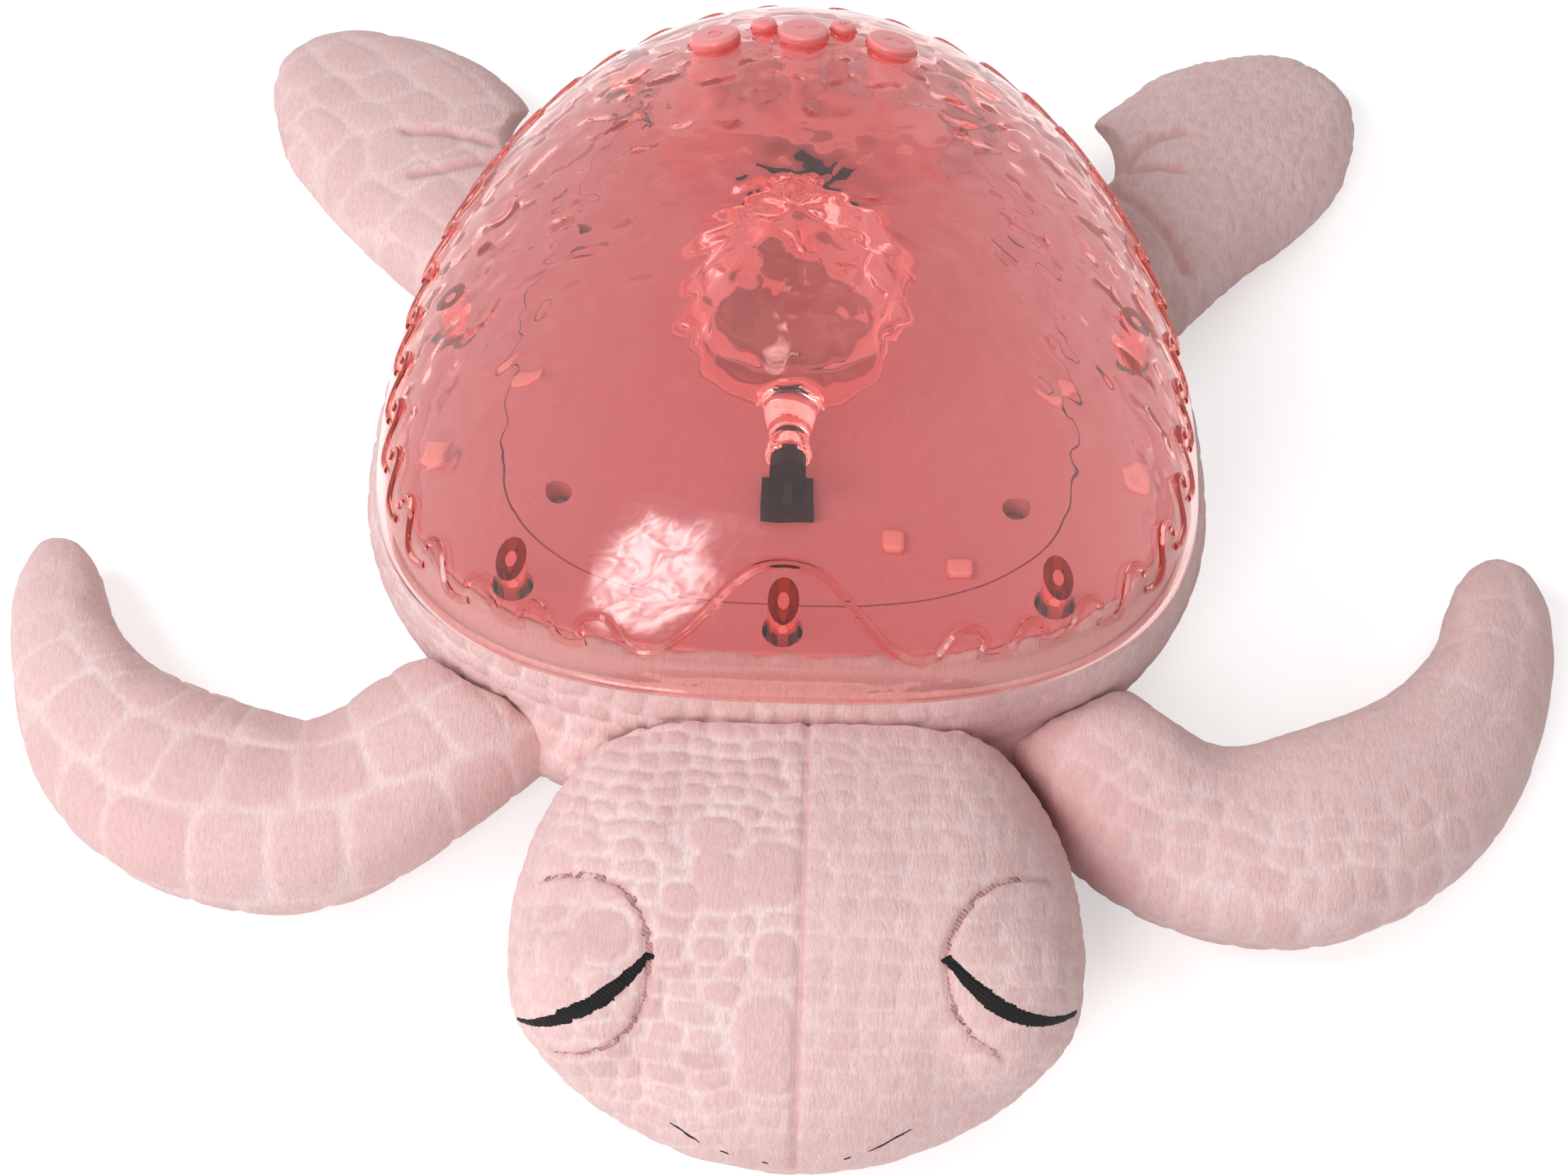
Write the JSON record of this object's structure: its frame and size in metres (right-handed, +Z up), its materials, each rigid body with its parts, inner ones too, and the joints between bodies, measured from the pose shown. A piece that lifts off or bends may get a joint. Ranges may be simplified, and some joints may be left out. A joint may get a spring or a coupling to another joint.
{
  "type": "night light projector",
  "caption": "stuffed sleeping turtle with a clear tinted dome over a motor driven ripple lens that throws a moving light, with push buttons at the back",
  "frame": {"origin": "on the surface it lies on, under the middle of its overall box", "axes": "+Z up, the head points to -Y and the tail to +Y, +X is on the right seen from behind the tail's view of the picture, the turtle's own left"},
  "size_m": [0.4076, 0.3788, 0.1222],
  "materials": {
    "plush": "short pile plush, embossed with cells",
    "clear_pink": "clear moulded plastic with a pink tint",
    "pink_deck": "smooth moulded plastic",
    "button_pink": "smooth moulded plastic",
    "housing_white": "fine spark texture",
    "clear_lens": "clear rippled plastic",
    "reflector_white": "smooth moulded plastic",
    "black_plastic": "moulded plastic",
    "gear_white": "moulded gear plastic",
    "steel": "plated steel",
    "motor_metal": "plated motor can",
    "circuit_board": "lacquered board",
    "board_parts": "moulded component bodies",
    "lamp": "clear cast resin",
    "heat_sink": "plain extruded",
    "cell": "plain sleeve",
    "contact": "nickel plated spring steel",
    "cone": "pressed paper"
  },
  "bodies": {
    "turtle": {"plush_body": "plush", "head": "plush", "front_flipper_left": "plush", "front_flipper_right": "plush", "rear_flipper_left": "plush", "rear_flipper_right": "plush", "shell": "clear_pink", "deck": "pink_deck", "mechanism_cover": "pink_deck", "button_pedestal": "pink_deck", "lower_housing": "housing_white", "drive_frame": "housing_white", "reflector": "reflector_white", "lens_front_bracket": "black_plastic", "lens_rear_bracket": "black_plastic", "speaker": "black_plastic", "front_pivot_pin": "steel", "bracket_screws": "steel", "gear_axles": "steel", "shell_screws": "steel", "cover_screws": "steel", "drive_motor": "motor_metal", "lamp_board": "circuit_board", "control_board": "circuit_board", "main_board": "circuit_board", "push_switches": "board_parts", "main_board_parts": "board_parts", "lamp": "lamp", "heat_sink": "heat_sink", "batteries": "cell", "battery_contacts": "contact", "speaker_cone": "cone"},
    "lens_unit": {"ripple_lens": "clear_lens", "rocker_arm": "black_plastic"},
    "crank_unit": {"crank_gear": "gear_white"},
    "idler_unit": {"idler_gear": "gear_white"},
    "pinion_unit": {"motor_pinion": "gear_white", "motor_shaft": "steel"},
    "door_unit": {"battery_door": "housing_white", "battery_door_screw": "steel"},
    "big_left_unit": {"big_button_left": "button_pink"},
    "big_centre_unit": {"big_button_centre": "button_pink"},
    "big_right_unit": {"big_button_right": "button_pink"},
    "small_left_unit": {"small_button_left": "button_pink"},
    "small_right_unit": {"small_button_right": "button_pink"}
  },
  "joints": [
    {"name": "lens_rock", "type": "hinge", "parent": "turtle", "child": "lens_unit", "pos_m": [0, 0.0218, 0.08], "axis": [0, 1, 0], "range_deg": [-11.5, 11.5]},
    {"name": "crank_turn", "type": "hinge", "parent": "turtle", "child": "crank_unit", "pos_m": [0, 0.0763, 0.046], "axis": [0, 1, 0], "continuous": true},
    {"name": "idler_turn", "type": "hinge", "parent": "turtle", "child": "idler_unit", "pos_m": [0.021, 0.0763, 0.046], "axis": [0, 1, 0], "continuous": true},
    {"name": "pinion_turn", "type": "hinge", "parent": "turtle", "child": "pinion_unit", "pos_m": [0.0336, 0.0763, 0.046], "axis": [0, 1, 0], "continuous": true},
    {"name": "big_left_press", "type": "slide", "parent": "turtle", "child": "big_left_unit", "axis": [0, 0, -1], "range_m": [0, 0.001], "stiffness_N_per_m": 500},
    {"name": "big_centre_press", "type": "slide", "parent": "turtle", "child": "big_centre_unit", "axis": [0, 0, -1], "range_m": [0, 0.001], "stiffness_N_per_m": 500},
    {"name": "big_right_press", "type": "slide", "parent": "turtle", "child": "big_right_unit", "axis": [0, 0, -1], "range_m": [0, 0.001], "stiffness_N_per_m": 500},
    {"name": "small_left_press", "type": "slide", "parent": "turtle", "child": "small_left_unit", "axis": [0, 0, -1], "range_m": [0, 0.001], "stiffness_N_per_m": 500},
    {"name": "small_right_press", "type": "slide", "parent": "turtle", "child": "small_right_unit", "axis": [0, 0, -1], "range_m": [0, 0.001], "stiffness_N_per_m": 500},
    {"name": "battery_door_lift", "type": "slide", "parent": "turtle", "child": "door_unit", "axis": [0, 0, -1], "range_m": [0, 0.02]}
  ],
  "couplings": [
    {"joint": "idler_turn", "follows": "crank_turn", "ratio": -1.3333},
    {"joint": "pinion_turn", "follows": "crank_turn", "ratio": 3.3333}
  ]
}
